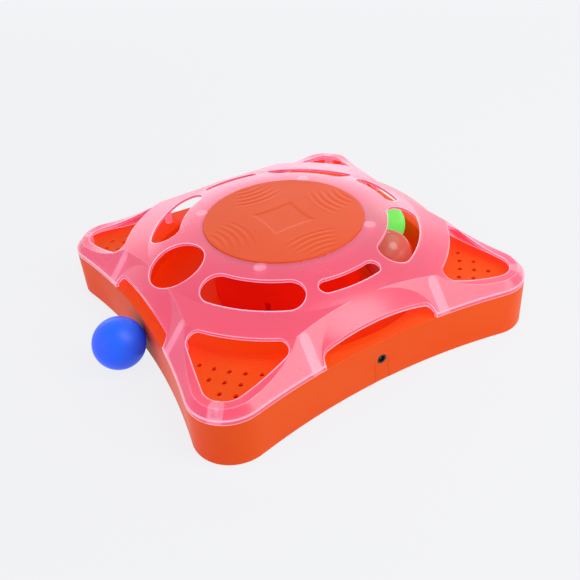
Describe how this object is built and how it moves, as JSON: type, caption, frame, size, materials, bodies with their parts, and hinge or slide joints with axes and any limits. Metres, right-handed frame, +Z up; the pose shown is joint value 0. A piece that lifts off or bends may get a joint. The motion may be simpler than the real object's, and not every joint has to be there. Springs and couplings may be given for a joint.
{
  "type": "electronic cat toy",
  "caption": "Square floor toy with a round ball track under a pierced translucent dome; a motor-driven sweeper pushes play balls round the track for a cat to catch.",
  "frame": {"origin": "centre of the toy on the surface that it stands on", "axes": "+Z up; -Y is the wall with the power socket; -X is the side with the dome's round ball hole"},
  "size_m": [0.336, 0.305, 0.0832],
  "materials": {
    "tray_orange": "satin moulded",
    "cover_pink": "frosted translucent",
    "disc_orange": "fine satin with raised relief",
    "drum_orange": "satin moulded",
    "gear_nylon": "natural nylon",
    "steel": "plated",
    "motor_steel": "plated can",
    "black_plastic": "moulded",
    "grey_plastic": "moulded",
    "foot_rubber": "matte",
    "board_green": "solder mask",
    "cell_wrap": "printed film, bare",
    "lead_sheath": "soft sheath",
    "ball_blue": "matte",
    "ball_green": "matte neon",
    "ball_pink": "gloss"
  },
  "bodies": {
    "base": {"base_housing": "tray_orange", "track_pan": "tray_orange", "bottom_plate": "tray_orange", "top_cover": "cover_pink", "centre_disc": "disc_orange", "thrust_washer": "gear_nylon", "spindle": "steel", "retaining_clip": "steel", "gear_post": "steel", "plate_screws": "steel", "bottom_screws": "steel", "cover_screws": "steel", "battery_contacts": "steel", "jack_pin": "steel", "drive_motor": "motor_steel", "motor_end_cap": "black_plastic", "dc_jack": "black_plastic", "switch_body": "black_plastic", "board_parts": "black_plastic", "gearbox_plate": "grey_plastic", "rubber_feet": "foot_rubber", "circuit_board": "board_green", "aa_cells": "cell_wrap", "jack_leads": "lead_sheath", "motor_leads": "lead_sheath", "battery_leads": "lead_sheath"},
    "rotor": {"rotor_drum": "drum_orange", "drive_gear": "gear_nylon", "sweeper_paddle": "drum_orange", "paddle_screws": "steel"},
    "idler": {"compound_gear": "gear_nylon"},
    "pinion": {"motor_pinion": "gear_nylon", "motor_shaft": "steel"},
    "green_ball": {"ball_green": "ball_green"},
    "pink_ball": {"ball_pink": "ball_pink"},
    "blue_ball": {"ball_blue": "ball_blue"},
    "switch": {"switch_slider": "black_plastic"},
    "door": {"battery_door": "tray_orange", "door_screw": "steel"}
  },
  "joints": [
    {"name": "rotor_spin", "type": "hinge", "parent": "base", "child": "rotor", "pos_m": [0, 0, 0.06], "axis": [0, 0, 1], "continuous": true},
    {"name": "idler_spin", "type": "hinge", "parent": "base", "child": "idler", "pos_m": [0.03, 0, 0.05], "axis": [0, 0, 1], "continuous": true},
    {"name": "pinion_spin", "type": "hinge", "parent": "base", "child": "pinion", "pos_m": [0.01457, 0.01839, 0.05], "axis": [0, 0, 1], "continuous": true},
    {"name": "green_ball_orbit", "type": "hinge", "parent": "base", "child": "green_ball", "pos_m": [0, 0, 0.0383], "axis": [0, 0, 1], "continuous": true},
    {"name": "pink_ball_orbit", "type": "hinge", "parent": "base", "child": "pink_ball", "pos_m": [0, 0, 0.0383], "axis": [0, 0, 1], "continuous": true},
    {"name": "blue_ball_roll", "type": "hinge", "parent": "base", "child": "blue_ball", "pos_m": [-0.1615, 0, 0.0223], "axis": [0, 1, 0], "continuous": true},
    {"name": "switch_slide", "type": "slide", "parent": "base", "child": "switch", "axis": [0.7071, 0.7071, 0], "range_m": [0, 0.004]},
    {"name": "battery_door_lift", "type": "slide", "parent": "base", "child": "door", "axis": [0, 0, -1], "range_m": [0, 0.02]}
  ],
  "couplings": [
    {"joint": "idler_spin", "follows": "rotor_spin", "ratio": -4},
    {"joint": "pinion_spin", "follows": "rotor_spin", "ratio": 12},
    {"joint": "green_ball_orbit", "follows": "rotor_spin", "ratio": 1},
    {"joint": "pink_ball_orbit", "follows": "rotor_spin", "ratio": 1}
  ]
}
